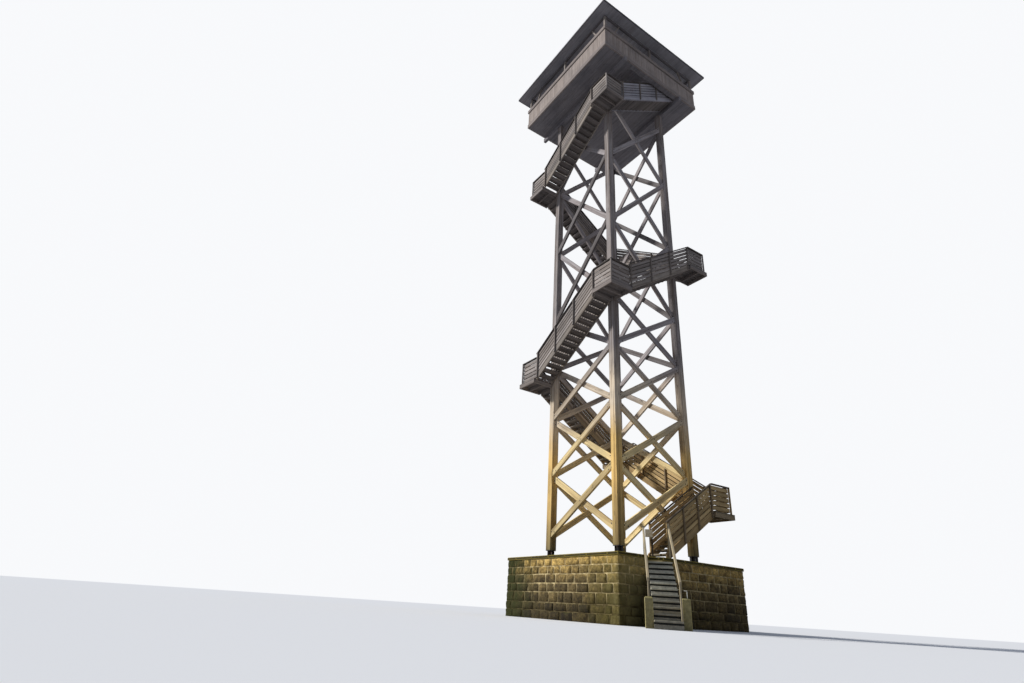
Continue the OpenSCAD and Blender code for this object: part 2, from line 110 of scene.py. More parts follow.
def effectGroup(name, outputs, **inputs):
    # a group tree with its input sockets by kind; all that it puts out is a float but for "Color"
    tree = bpy.data.node_groups.new(name, "ShaderNodeTree")
    for label, kind in inputs.items():
        tree.interface.new_socket(label, in_out="INPUT", socket_type="NodeSocket" + kind)
    for label in outputs:
        kind = "Color" if label == "Color" else "Float"
        tree.interface.new_socket(label, in_out="OUTPUT", socket_type="NodeSocket" + kind)
    return tree, tree.nodes.new("NodeGroupInput").outputs, tree.nodes.new("NodeGroupOutput").inputs


def giveOut(tree, end, **values):
    for label, value in values.items():
        tree.links.new(value, end[label])
    return tree


def useGroup(tree, group, sockets):
    return put(tree, "Group", sockets, node_tree=group).outputs


def newMaterial(name, roughness=0.8, specular=0.25, metallic=0.0):
    material = bpy.data.materials.new(name)
    material.use_nodes = True
    tree = material.node_tree
    shader = tree.nodes["Principled BSDF"]
    shader.inputs["Roughness"].default_value = roughness
    shader.inputs["Specular IOR Level"].default_value = specular
    shader.inputs["Metallic"].default_value = metallic
    return material, tree, shader


def wire(tree, shader, colour, height, strength, distance, roughness=None):
    # colour, bump and roughness into the surface shader
    tree.links.new(colour, shader.inputs["Base Color"])
    bump = put(tree, "Bump", {"Height": height, "Strength": strength, "Distance": distance})
    tree.links.new(bump.outputs["Normal"], shader.inputs["Normal"])
    if roughness is not None:
        tree.links.new(roughness, shader.inputs["Roughness"])


def makeTimberGrain():
    # streaks, fibres, drying cracks and knots along the first axis of the grain coordinates
    tree, start, end = effectGroup("timberGrain", ["Streak", "Fibre", "Crack", "Knot", "Height"],
                                   Grain="Vector", Cracking="Float", Knots="Float")
    wave = put(tree, "TexNoise", {"Vector": stretched(tree, start["Grain"], (0.7, 2.0, 2.0)),
                                  "Scale": 1.0, "Detail": 1.0}).outputs["Color"]
    bent = put(tree, "VectorMath", {0: start["Grain"], 1: stretched(tree, wave, (0.0, 0.03, 0.03))},
               operation="ADD").outputs[0]
    fine = noiseAt(tree, stretched(tree, bent, (0.45, 16.0, 16.0)), 1.0, 4.0)
    broad = noiseAt(tree, stretched(tree, bent, (0.22, 7.0, 7.0)), 1.0, 3.0)
    streak = sums(tree, "ADD", times(tree, fine, 0.5), times(tree, broad, 0.5))
    fibre = noiseAt(tree, stretched(tree, bent, (3.0, 120.0, 120.0)), 1.0, 3.0, 0.6)
    seam = noiseAt(tree, stretched(tree, bent, (0.5, 11.0, 11.0)), 1.0, 1.0, 0.4)
    offset = sums(tree, "ABSOLUTE", sums(tree, "SUBTRACT", seam, 0.5))
    line = ranged(tree, offset, 0.003, 0.014, 1.0, 0.0, True)
    gate = ranged(tree, noiseAt(tree, stretched(tree, bent, (0.8, 3.0, 3.0)), 1.0, 2.0), 0.5, 0.6)
    crack = times(tree, times(tree, line, gate), start["Cracking"], True)
    cell = put(tree, "TexVoronoi", {"Vector": stretched(tree, bent, (1.6, 7.0, 7.0)), "Scale": 1.0})
    knot = times(tree, ranged(tree, cell.outputs["Distance"], 0.07, 0.16, 1.0, 0.0, True), start["Knots"], True)
    relief = sums(tree, "SUBTRACT", times(tree, fibre, 0.5), crack)
    height = sums(tree, "ADD", relief, times(tree, streak, 0.3))
    return giveOut(tree, end, Streak=streak, Fibre=fibre, Crack=crack, Knot=knot, Height=height)


def makeHeightMix():
    # one colour low down and another high up, with a ragged change between them
    tree, start, end = effectGroup("heightMix", ["Color"], Position="Vector", Below="Color", Above="Color",
                                   From="Float", To="Float", Ragged="Float")
    ragged = times(tree, sums(tree, "SUBTRACT", noiseAt(tree, start["Position"], 0.8), 0.5), start["Ragged"])
    height = sums(tree, "ADD", upOf(tree, start["Position"]), ragged)
    share = ranged(tree, height, start["From"], start["To"])
    return giveOut(tree, end, Color=blend(tree, share, start["Below"], start["Above"]))


def makeStoneGrit():
    # blotches, speckle and pits of a dressed stone
    tree, start, end = effectGroup("stoneGrit", ["Blotch", "Speckle", "Pit", "Height"],
                                   Position="Vector", Coarseness="Float")
    scaled = put(tree, "VectorMath", {0: start["Position"], 3: start["Coarseness"]},
                 operation="SCALE").outputs[0]
    blotch = noiseAt(tree, scaled, 5.0, 5.0, 0.6)
    speckle = noiseAt(tree, scaled, 90.0, 2.0, 0.7)
    cell = put(tree, "TexVoronoi", {"Vector": scaled, "Scale": 38.0, "Randomness": 1.0})
    pit = ranged(tree, cell.outputs["Distance"], 0.12, 0.3, 1.0, 0.0, True)
    bumps = sums(tree, "ADD", times(tree, blotch, 1.4), times(tree, speckle, 0.35))
    height = sums(tree, "SUBTRACT", bumps, times(tree, pit, 0.4))
    return giveOut(tree, end, Blotch=blotch, Speckle=speckle, Pit=pit, Height=height)


def makeMossCover():
    # growth that keeps to upward faces and to patches, with a second colour for thin algae
    tree, start, end = effectGroup("mossCover", ["Mask", "Color"], Position="Vector", Amount="Float", Upward="Float")
    patch = noiseAt(tree, start["Position"], 1.6, 6.0, 0.65)
    up = upOf(tree, put(tree, "NewGeometry").outputs["Normal"])
    lift = times(tree, sums(tree, "MAXIMUM", up, 0.0), start["Upward"])
    reach = sums(tree, "ADD", sums(tree, "ADD", patch, lift), start["Amount"])
    mask = ranged(tree, reach, 0.9, 1.12)
    tuft = noiseAt(tree, start["Position"], 26.0, 4.0, 0.7)
    green = blend(tree, tuft, linear(58, 62, 20), linear(112, 112, 46))
    return giveOut(tree, end, Mask=mask, Color=green)


def makeCornerGrowthAndLight():
    # streaked growth that thins out with the distance from an upright line, also used to lay a patch of painted light
    tree, start, end = effectGroup("cornerGrowthAndLight", ["Mask"], Position="Vector", Corner="Vector",
                                   Reach="Float", Share="Float")
    flat = stretched(tree, start["Position"], (1.0, 1.0, 0.0))
    away = put(tree, "VectorMath", {0: flat, 1: start["Corner"]}, operation="DISTANCE").outputs["Value"]
    near = sums(tree, "SUBTRACT", 1.0, sums(tree, "DIVIDE", away, start["Reach"]), True)
    streak = noiseAt(tree, stretched(tree, start["Position"], (3.5, 3.5, 1.6)), 1.0, 6.0, 0.7)
    growthAndLight = sums(tree, "ADD", streak, times(tree, near, 0.55))
    mask = times(tree, ranged(tree, growthAndLight, 0.6, 0.95), ranged(tree, near, 0.0, 0.4))
    return giveOut(tree, end, Mask=times(tree, mask, start["Share"], True))


timberGrain = makeTimberGrain()
heightMix = makeHeightMix()
stoneGrit = makeStoneGrit()
mossCover = makeMossCover()
cornerGrowthAndLight = makeCornerGrowthAndLight()


def objectPlace(tree):
    return put(tree, "TexCoord").outputs["Object"]


def attributeOf(tree, name, output="Fac"):
    return put(tree, "Attribute", attribute_name=name).outputs[output]


# heights in metres between which one tone gives way to the next, and how ragged the change is
zones = {"postFoot": (2.1, 4.4, 0.9), "lower": (6.2, 7.8, 1.6), "lowerWide": (6.2, 9.8, 1.6),
         # the wall is made darker towards its foot and paler towards its top
         "upper": (8.4, 10.4, 2.0), "wallFoot": (0.4, 1.25, 0.7), "wallTop": (1.25, 1.85, 0.9)}
# what each kind of wear multiplies the colour under it by
wearTones = {"streak": (0.5, 0.45, 0.41), "fibre": (0.7, 0.67, 0.64), "grey": (0.68, 0.7, 0.73),
             "soot": (0.36, 0.34, 0.3), "bleach": (1.9, 1.85, 1.7), "speckle": (1.6, 1.55, 1.45),
             "pit": (0.45, 0.43, 0.4)}
timberLook = {"roughness": 0.82, "knots": 0.55, "knot": (84, 68, 54), "crack": (52, 45, 40),
              "bump": 0.55, "depth": 0.006}
stoneLook = {"roughness": 0.88, "depth": 0.03}


def byHeight(tree, place, zone, below, above):
    start, stop, ragged = zones[zone]
    return useGroup(tree, heightMix, {"Position": place, "Below": below, "Above": above,
                                      "From": start, "To": stop, "Ragged": ragged})["Color"]


def timberMaterial(name, tones, darkShare, cracking, wear, spread,
                   edgeTone=(1.45, 1.42, 1.36), leastEdgeShare=0.0, inside=None, footTone=None):
    # tones go from the foot up, one to three of them; edgeTone multiplies the colour along the arrises, lighter where
    # they are worn, and darker as painted shade of the gaps on the rail boards
    # inside names how far from the middle the ceiling in the room is painted paler, as painted light against the
    # room's shade, and how much paler it is
    # the last one is the tone that the posts darken to towards their foot, just above the plinth
    material, tree, shader = newMaterial(name, timberLook["roughness"], 0.2)
    place = objectPlace(tree)
    grain = useGroup(tree, timberGrain, {"Grain": attributeOf(tree, "grain", "Vector"), "Cracking": cracking,
                                         "Knots": timberLook["knots"]})
    foot, middle, top = linear(*tones[0]), linear(*tones[min(1, len(tones) - 1)]), linear(*tones[-1])
    colour = byHeight(tree, place, "lower" if len(tones) == 3 else "lowerWide", foot, middle)
    if footTone:
        colour = byHeight(tree, place, "postFoot", linear(*footTone), colour)
    colour = byHeight(tree, place, "upper", colour, top)
    if inside:
        reach, paintedLightGain = inside
        size = put(tree, "VectorMath", {0: place}, operation="ABSOLUTE").outputs[0]
        away = put(tree, "SeparateXYZ", {0: size}).outputs
        outer = ranged(tree, sums(tree, "MAXIMUM", away[0], away[1]), reach - 0.05, reach)
        colour = blend(tree, outer, multiplied(tree, colour, (paintedLightGain, paintedLightGain, paintedLightGain, 1)), colour)
    level = ranged(tree, attributeOf(tree, "tint"), 0.0, 1.0, 1.0 - spread, 1.0 + spread * 0.35)
    grey = put(tree, "CombineColor", {0: level, 1: level, 2: level}).outputs[0]
    colour = multiplied(tree, colour, grey)
    streak = times(tree, ranged(tree, grain["Streak"], 0.45, 0.58), darkShare, True)
    colour = toned(tree, streak, colour, wearTones["streak"])
    fibre = times(tree, ranged(tree, grain["Fibre"], 0.45, 0.8), 0.5)
    colour = toned(tree, fibre, colour, wearTones["fibre"])
    weathered = ranged(tree, noiseAt(tree, place, 0.9, 5.0, 0.6), 0.45, 0.68, 0.0, 0.8)
    colour = toned(tree, weathered, colour, wearTones["grey"])
    # the arrises: lighter where worn, and on the rail boards darker, as painted shade of the board gaps
    edgeWearAndShade = ranged(tree, noiseAt(tree, place, 7.0, 4.0), 0.4, 0.65, leastEdgeShare, wear)
    colour = toned(tree, times(tree, attributeOf(tree, "edge"), edgeWearAndShade), colour, edgeTone)
    colour = blend(tree, times(tree, grain["Knot"], 0.6), colour, linear(*timberLook["knot"]))
    colour = blend(tree, times(tree, grain["Crack"], 0.8), colour, linear(*timberLook["crack"]))
    wire(tree, shader, colour, grain["Height"], timberLook["bump"], timberLook["depth"])
    return material


def stoneMaterial(name, first, second, mossAmount, upward, coarseness=1.0, bump=0.5, useTint=True,
                  low=(1.0, 1.0, 1.0), high=None, rim=1.0, stain=0.0, growthAndLight=()):
    # low and high multiply the colour near the ground and under the coping; rim lightens the rounded edges, as wear,
    # and on the coping as a painted highlight of its lit edge
    # stain is how strong the dark and pale blotches are; the last argument lists what grows from a corner, and a pale
    # patch of painted light
    material, tree, shader = newMaterial(name, stoneLook["roughness"], 0.2)
    place = objectPlace(tree)
    grit = useGroup(tree, stoneGrit, {"Position": place, "Coarseness": coarseness})
    share = ranged(tree, grit["Blotch"], 0.3, 0.7)
    if useTint:
        share = sums(tree, "ADD", times(tree, share, 0.45), times(tree, attributeOf(tree, "tint"), 0.6), True)
    colour = blend(tree, share, linear(*first), linear(*second))
    plain = (1, 1, 1, 1)
    colour = multiplied(tree, colour, byHeight(tree, place, "wallFoot", (*low, 1), plain))
    if high:
        colour = multiplied(tree, colour, byHeight(tree, place, "wallTop", plain, (*high, 1)))
    if stain:
        sooty = times(tree, ranged(tree, noiseAt(tree, place, 6.0, 6.0, 0.75), 0.42, 0.6), stain)
        colour = toned(tree, sooty, colour, wearTones["soot"])
        flecks = noiseAt(tree, stretched(tree, place, (1.0, 1.0, 1.3)), 9.0, 5.0, 0.75)
        colour = toned(tree, ranged(tree, flecks, 0.5, 0.66, 0.0, stain), colour, wearTones["bleach"])
    colour = toned(tree, ranged(tree, grit["Speckle"], 0.55, 0.75, 0.0, 0.35), colour, wearTones["speckle"])
    colour = toned(tree, times(tree, grit["Pit"], 0.35), colour, wearTones["pit"])
    moss = useGroup(tree, mossCover, {"Position": place, "Amount": mossAmount, "Upward": upward})
    colour = blend(tree, times(tree, moss["Mask"], 0.7), colour, moss["Color"])
    # growth, and the pale patch of painted light on the shaded side
    for corner, reach, amount, tone in growthAndLight:
        spread = useGroup(tree, cornerGrowthAndLight, {"Position": place, "Corner": corner,
                                               "Reach": reach, "Share": amount})
        colour = blend(tree, spread["Mask"], colour, linear(*tone))
    # lighter rounded edges: wear, and on the coping a painted highlight
    colour = toned(tree, times(tree, attributeOf(tree, "edge"), 0.9), colour, (rim, rim, rim * 0.94))
    wire(tree, shader, colour, grit["Height"], bump, stoneLook["depth"])
    return material


def metalMaterial(name, plain, rust, rustShare, roughness=0.45):
    material, tree, shader = newMaterial(name, roughness, 0.4, 0.6)
    place = objectPlace(tree)
    patch = noiseAt(tree, place, 9.0, 6.0, 0.65)
    rusted = ranged(tree, patch, 0.62 - rustShare * 0.3, 0.78 - rustShare * 0.3)
    colour = blend(tree, rusted, linear(*plain), linear(*rust))
    wire(tree, shader, colour, noiseAt(tree, place, 120.0, 3.0), 0.15, 0.002,
         ranged(tree, rusted, 0.0, 1.0, roughness, 0.85))
    return material


def noticeMaterial():
    # a bare pale sheet with a little stain
    material, tree, shader = newMaterial("noticeSheet", 0.6, 0.3)
    worn = noiseAt(tree, objectPlace(tree), 14.0, 5.0)
    colour = blend(tree, ranged(tree, worn, 0.45, 0.75), linear(250, 232, 196), linear(196, 168, 122))
    wire(tree, shader, colour, worn, 0.1, 0.002)
    return material


corners = {"left": (-3.12, 3.12, 0.0), "front": (-3.12, -3.12, 0.0), "shadeSideLight": (-2.5, -3.2, 0.0)}
# what grows on the wall, and a pale patch of painted light on the shaded entrance side near the front corner: from
# which corner, how far, how thick, and its tone
wallGrowthAndLight = ((corners["left"], 2.6, 1.0, (46, 48, 3)), (corners["front"], 2.3, 0.28, (122, 112, 40)),
              # painted light: a pale patch on the shaded entrance side, near the front corner
              (corners["shadeSideLight"], 1.1, 0.4, (172, 160, 110)))
mortarGrowth = ((corners["left"], 2.4, 0.85, (56, 56, 8)), (corners["front"], 2.3, 0.2, (122, 112, 40)))
# painted shade: this dark edge tone gives the rail boards a dark rim that stands for the shade in the gaps between
# them
gapShadeRim = {"edgeTone": (0.3, 0.28, 0.27), "leastEdgeShare": 0.75}
roofTones = [(158, 156, 162)]

finishes = {
    # timbers: tones, dark streaks, cracks, wear of the edges, difference between pieces
    "posts": timberMaterial("postTimber", [(244, 204, 128), (232, 214, 188), (162, 154, 151)], 0.9, 1.0, 0.5, 0.12,
                            footTone=(114, 108, 78)),
    "braces": timberMaterial("braceTimber", [(250, 224, 164), (226, 208, 182), (170, 163, 163)], 0.75, 0.9, 0.5, 0.6),
    "stringers": timberMaterial("stringerTimber", [(190, 162, 114), (160, 150, 140)], 0.7, 0.7, 0.5, 0.25),
    "treads": timberMaterial("treadTimber", [(140, 128, 106), (132, 125, 122)], 0.6, 0.6, 0.7, 0.3),
    "railBoards": timberMaterial("railBoardTimber", [(220, 190, 136), (170, 161, 155)], 0.7, 0.7, 1.0, 0.36,
                                 **gapShadeRim),
    "paleLastFlight": timberMaterial("paleLastFlightTimber", [(186, 183, 190)], 0.5, 0.6, 1.0, 0.3, **gapShadeRim),
    "railPosts": timberMaterial("railPostTimber", [(142, 124, 98), (136, 127, 121)], 0.5, 0.5, 0.6, 0.25),
    "handrails": timberMaterial("handrailTimber", [(98, 88, 74), (96, 90, 87)], 0.5, 0.5, 0.6, 0.25),
    "beams": timberMaterial("beamTimber", [(160, 142, 112), (150, 141, 136)], 0.6, 0.7, 0.5, 0.3),
    "soffit": timberMaterial("soffitTimber", [(140, 136, 140)], 0.4, 0.4, 0.3, 0.08),
    "parapet": timberMaterial("parapetTimber", [(171, 159, 152)], 0.5, 0.5, 0.4, 0.1),
    "parapetRail": timberMaterial("parapetRailTimber", [(152, 142, 138)], 0.5, 0.6, 0.5, 0.1),
    "cabin": timberMaterial("cabinTimber", [(160, 151, 144)], 0.5, 0.6, 0.5, 0.2),
    "roofTimber": timberMaterial("roofTimber", roofTones, 0.35, 0.4, 0.3, 0.06),
    # painted light: the ceiling boards inside the room are made 1.8 times paler, against the shade there
    "ceiling": timberMaterial("ceilingTimber", roofTones, 0.35, 0.4, 0.3, 0.06, inside=(3.34, 1.8)),
    "eaves": timberMaterial("eavesTimber", [(92, 90, 96)], 0.5, 0.5, 0.3, 0.1),
    # painted shade: the wall plates under the eaves are made darker than the cabin's other timbers
    "plates": timberMaterial("plateTimber", [(118, 114, 116)], 0.35, 0.4, 0.3, 0.1),
    "paleRails": timberMaterial("paleRailTimber", [(204, 188, 154)], 0.4, 0.35, 0.6, 0.1),
    # stones: darkest and palest tone, moss, how much more of it lies on top, coarseness, bumps
    "wallStone": stoneMaterial("wallStone", (52, 44, 28), (150, 129, 84), 0.2, 0.3, 0.8, 1.0,
                               low=(0.3, 0.3, 0.25), high=(2.9, 2.75, 2.2), stain=0.95, growthAndLight=wallGrowthAndLight),
    "mortar": stoneMaterial("wallMortar", (118, 100, 66), (250, 228, 172), 0.14, 0.2, 0.9, 0.5, False,
                            low=(0.2, 0.19, 0.16), growthAndLight=mortarGrowth),
    # painted highlight: rim=6.5 makes the coping's rounded edges much paler, for its lit top edge
    "coping": stoneMaterial("copingStone", (46, 40, 14), (68, 60, 26), 0.16, 0.2, rim=6.5),
    "paving": stoneMaterial("pavingStone", (92, 88, 80), (118, 112, 100), 0.2, 0.3),
    # painted shade: the step core, seen mainly in the grooves under the slabs, is near black
    "stepCore": stoneMaterial("stepCoreStone", (40, 40, 38), (54, 53, 49), 0.1, 0.2, 1.0, 0.5, False),
    "stepStone": stoneMaterial("stepStone", (184, 182, 168), (222, 218, 200), 0.06, 0.1, 1.4, 0.4,
                               low=(0.6, 0.57, 0.54), stain=0.3),
    "bollards": stoneMaterial("bollardStone", (128, 117, 76), (182, 170, 122), 0.2, 0.3, 1.6, 0.8,
                              rim=1.5, stain=0.4),
    # metals: plain tone, rust, share of rust
    "steel": metalMaterial("darkSteel", (48, 48, 50), (92, 58, 38), 0.3),
    "hookSteel": metalMaterial("paleSteel", (190, 188, 180), (150, 136, 116), 0.2),
    "roofSheet": metalMaterial("roofSheet", (74, 72, 70), (96, 82, 70), 0.15, 0.5),
    "notice": noticeMaterial(),
}
print("finishes ready")


cleaning = {"merge": 0.00005, "flat": math.radians(0.5), "sharp": math.radians(25)}


def copyOf(nodeName):
    # the node's own mesh without its triangles' extra points and edges
    bm = bmesh.new()
    bm.from_mesh(cadNodes[nodeName].data)
    for layer in list(bm.loops.layers.uv):
        bm.loops.layers.uv.remove(layer)
    bmesh.ops.remove_doubles(bm, verts=bm.verts, dist=cleaning["merge"])
    bmesh.ops.dissolve_limit(bm, angle_limit=cleaning["flat"], verts=bm.verts, edges=bm.edges)
    return bm


def dressNode(nodeName, finish):
    # a finish for a node whose own mesh stays
    materials = cadNodes[nodeName].data.materials
    materials.clear()
    materials.append(finishes[finish])


def looseParts(bm):
    # lists of the vertices that hang together, in the order of the mesh
    for vert in bm.verts:
        vert.tag = False
    parts = []
    for seed in bm.verts:
        if seed.tag:
            continue
        seed.tag = True
        part, waiting = [seed], [seed]
        while waiting:
            for edge in waiting.pop().link_edges:
                for vert in edge.verts:
                    if not vert.tag:
                        vert.tag = True
                        part.append(vert)
                        waiting.append(vert)
        parts.append(part)
    return parts


def longestEdge(part):
    best, direction = 0.0, Vector((1, 0, 0))
    for vert in part:
        for edge in vert.link_edges:
            if edge.calc_length() > best + 1e-5:
                best, direction = edge.calc_length(), (edge.verts[1].co - edge.verts[0].co)
    return direction.normalized()


def markGrain(bm, seed):
    # each loose part gets its own grain coordinates along its length, and its own tint
    dice = random.Random(seed)
    grain = bm.verts.layers.float_vector.new("grain")
    tint = bm.verts.layers.float.new("tint")
    for part in looseParts(bm):
        along = longestEdge(part)
        if max(along, key=abs) < 0:
            along = -along
        across = along.cross(Vector((0.31, 0.17, 0.93))).normalized()
        third = along.cross(across)
        shift = Vector([dice.uniform(0, 40) for _ in range(3)])
        shade = dice.random()
        for vert in part:
            vert[grain] = Vector((vert.co.dot(along), vert.co.dot(across), vert.co.dot(third))) + shift
            vert[tint] = shade


def rounded(bm, width, segments=1):
    # eased arrises, marked so that the finish can wear them
    edge = bm.faces.layers.float.new("edge")
    sharp = [e for e in bm.edges if len(e.link_faces) == 2 and e.calc_face_angle() > cleaning["sharp"]]
    made = bmesh.ops.bevel(bm, geom=sharp, offset=width, offset_type="OFFSET", segments=segments,
                           profile=0.5, affect="EDGES", clamp_overlap=True, material=-1)
    for face in made["faces"]:
        face[edge] = 1.0


def middleOf(part):
    return sum((vert.co for vert in part), Vector()) / len(part)


def heightOf(part):
    heights = [vert.co.z for vert in part]
    return max(heights) - min(heights)


def eitherWay(dice, reach):
    return dice.uniform(-reach, reach)


noise.seed_set(12)    # the noise vectors are then the same in each run


def roughened(bm, amount, seed, nodeName, size=2.5):
    # moves points a little, as worn or hewn faces are, inside the node's own box
    offset = Vector((seed * 3.7, seed * 1.3, seed * 2.1))
    lowest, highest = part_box(nodeName)
    for vert in bm.verts:
        moved = vert.co + noise.noise_vector(vert.co * size + offset) * amount
        vert.co = [min(max(value, lowest[axis]), highest[axis]) for axis, value in enumerate(moved)]


def toMesh(bm, name):
    mesh = bpy.data.meshes.new(name)
    bm.to_mesh(mesh)
    bm.free()
    return mesh


def addObject(name, data):
    thing = bpy.data.objects.new(name, data)
    scene.collection.objects.link(thing)
    return thing


def finishPiece(bm, name, finish, replaced=(), seed=None, second=None, smooth=False):
    # seed is for the grain, second is the finish of the faces that were painted apart
    if seed is not None:
        markGrain(bm, seed)
    bm.normal_update()
    mesh = toMesh(bm, name)
    mesh.materials.append(finishes[finish])
    if second:
        mesh.materials.append(finishes[second])
    if smooth:
        mesh.shade_smooth()
    piece = addObject(name, mesh)
    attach(piece, "root")
    if replaced:
        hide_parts(*replaced)


def sideMatrix(k):
    # from the entrance side to side k: 0 entrance, 1 right, 2 back, 3 left
    return Matrix.Rotation(math.radians(90 * k), 4, "Z")


def addMesh(target, source, place=None):
    # adds one mesh under construction to another
    if place:
        source.transform(place)
    passing = toMesh(source, "passing")
    target.from_mesh(passing)
    bpy.data.meshes.remove(passing)


def cutAway(bm, place, direction):
    # takes off what lies past a plane and closes the cut
    bmesh.ops.bisect_plane(bm, geom=bm.verts[:] + bm.edges[:] + bm.faces[:], dist=1e-6,
                           plane_co=place, plane_no=direction, clear_outer=True)
    rim = [e for e in bm.edges if e.is_boundary]
    if rim:
        bmesh.ops.holes_fill(bm, edges=rim, sides=0)


def sawn(bm, direction, pitch, gap, vary, seed):
    # saws closed shapes into strips of varied width that stand side by side with a gap
    dice = random.Random(seed)
    direction = Vector(direction).normalized()
    reach = [vert.co.dot(direction) for vert in bm.verts]
    low, high = min(reach), max(reach)
    result = bmesh.new()
    at = low
    while at < high - 1e-4:
        width = pitch * (1 + eitherWay(dice, vary))
        start, stop = at, at + width
        at = stop
        if stop > high - pitch * 0.25:
            stop, at = high, high
        strip = bm.copy()
        if start > low:
            cutAway(strip, direction * (start + gap / 2), -direction)
        if stop < high:
            cutAway(strip, direction * (stop - gap / 2), direction)
        if strip.faces:
            addMesh(result, strip)
        else:
            strip.free()
    bm.free()
    return result


def splitParts(bm):
    # one mesh for each loose part
    parts = []
    count = len(looseParts(bm))
    for index in range(count):
        single = bm.copy()
        keep = {v.index for v in looseParts(single)[index]}
        single.verts.index_update()
        bmesh.ops.delete(single, geom=[v for v in single.verts if v.index not in keep], context="VERTS")
        parts.append(single)
    bm.free()
    return parts


def dressedPiece(nodeName, name, finish, slotName, width, seed=None, segments=1, cuts=(), rough=None):
    # the node's own solids, sawn where cuts give a direction, pitch, gap and variation, with eased arrises
    bm = copyOf(nodeName)
    for number, (direction, pitch, gap, vary) in enumerate(cuts):
        bm = sawn(bm, direction, pitch, gap, vary, seed + number)
    rounded(bm, width, segments)
    if rough:
        roughened(bm, rough, seed, nodeName)
    finishPiece(bm, name, finish, [nodeName], seed)


timbers = {
    # node: (piece, finish, slot, eased edge in metres)
    "posts": ("cornerPosts", "posts", "post_timber", 0.012),
    "flight_treads": ("flightTreads", "treads", "tread_timber", 0.005),
    "handrails": ("handrails", "handrails", "handrail_timber", 0.006),
    "inner_posts": ("innerRailPosts", "railPosts", "handrail_timber", 0.005),
    "inner_handrails": ("innerHandrails", "handrails", "handrail_timber", 0.006),
    "landing_beams": ("landingBeams", "beams", "beam_timber", 0.006),
    "main_beams": ("mainBeams", "soffit", "beam_timber", 0.01),
    "cabin_joists": ("cabinJoists", "soffit", "beam_timber", 0.006),
    "parapet_rails": ("parapetRails", "parapetRail", "parapet_rail_timber", 0.008),
    "parapet_skirt": ("parapetSkirt", "parapetRail", "parapet_timber", 0.004),
    "cabin_posts": ("cabinPosts", "cabin", "cabin_timber", 0.007),
    "knee_braces": ("kneeBraces", "cabin", "cabin_timber", 0.006),
    "wall_plates": ("wallPlates", "plates", "cabin_timber", 0.006),
    "rafters": ("roofRafters", "roofTimber", "roof_timber", 0.006),
    "roof_fascia": ("eavesBoards", "eaves", "roof_timber", 0.004),
    "entrance_rails": ("entranceRails", "paleRails", "pale_timber", 0.008),
}
for index, (nodeName, settings) in enumerate(timbers.items()):
    dressedPiece(nodeName, *settings, 100 + index)


# the last entry is how wide the dark rim painted round each rail board is, as shade of the gaps
flights = {"shortPost": 1.15, "postEdge": 0.005, "boardEdge": 0.003, "stringerEdge": 0.006,
           "broadFace": 0.03, "gapShadeRim": 0.013}


def paintSecond(part):
    for face in {face for vert in part for face in vert.link_faces}:
        face.material_index = 1


def makeRailPosts():
    # the short posts at the landings' corners are pale like the boards
    bm = copyOf("rail_posts")
    for part in looseParts(bm):
        if heightOf(part) < flights["shortPost"]:
            paintSecond(part)
    rounded(bm, flights["postEdge"])
    finishPiece(bm, "railPosts", "railPosts", ["rail_posts"], 150, "railBoards")


braces = {"edge": 0.008, "tintSpread": 0.2, "plainTint": 0.7, "darkTint": 0.0, "darkTintLow": 0.45, "lowBelow": 10}


def makeBraces(nodeName, name, k, seed):
    # on the left and right sides the bars that rise to the right are given a darker tint than the others
    bm = copyOf(nodeName)
    rounded(bm, braces["edge"])
    markGrain(bm, seed)
    tint = bm.verts.layers.float["tint"]
    rightward = sideMatrix(k) @ Vector((1, 0, 0))
    for part in looseParts(bm):
        along = longestEdge(part)
        level = braces["plainTint"]
        if k % 2 == 1 and along.dot(rightward) * along.z > 0:
            level = braces["darkTintLow" if middleOf(part).z < braces["lowBelow"] else "darkTint"]
        for vert in part:
            vert[tint] = vert[tint] * braces["tintSpread"] + level
    finishPiece(bm, name, "braces", [nodeName])


paleLastFlight = {"height": 23.9, "front": -2.0, "left": -1.9}


def markPaleLastFlight(bm):
    # the timbers of the last flight, under the cabin, are given a paler, bluer grey finish
    for part in looseParts(bm):
        middle = middleOf(part)
        if middle.z > paleLastFlight["height"] and middle.y < paleLastFlight["front"] and middle.x > paleLastFlight["left"]:
            paintSecond(part)


def makeStringers():
    bm = copyOf("flight_stringers")
    rounded(bm, flights["stringerEdge"])
    markPaleLastFlight(bm)
    finishPiece(bm, "flightStringers", "stringers", ["flight_stringers"], 153, "paleLastFlight")


def makeRailBoards(nodeName, name, seed):
    # a narrow rim round each board's broad faces is darkened: painted shade of the gaps between the boards
    bm = copyOf(nodeName)
    rounded(bm, flights["boardEdge"])
    edge = bm.faces.layers.float["edge"]
    markPaleLastFlight(bm)
    broad = [face for face in bm.faces if face.calc_area() > flights["broadFace"]]
    for face in bmesh.ops.inset_individual(bm, faces=broad, thickness=flights["gapShadeRim"], depth=0.0)["faces"]:
        face[edge] = 1.0
    finishPiece(bm, name, "railBoards", [nodeName], seed, "paleLastFlight")


makeRailPosts()
makeStringers()
makeRailBoards("rail_boards", "railBoards", 151)
makeRailBoards("inner_boards", "innerRailBoards", 152)
for k, facing in enumerate(("front", "right", "back", "left")):
    makeBraces("braces_" + facing, facing + "Braces", k, 160 + k)
print("timbers dressed:", len(timbers) + 8)


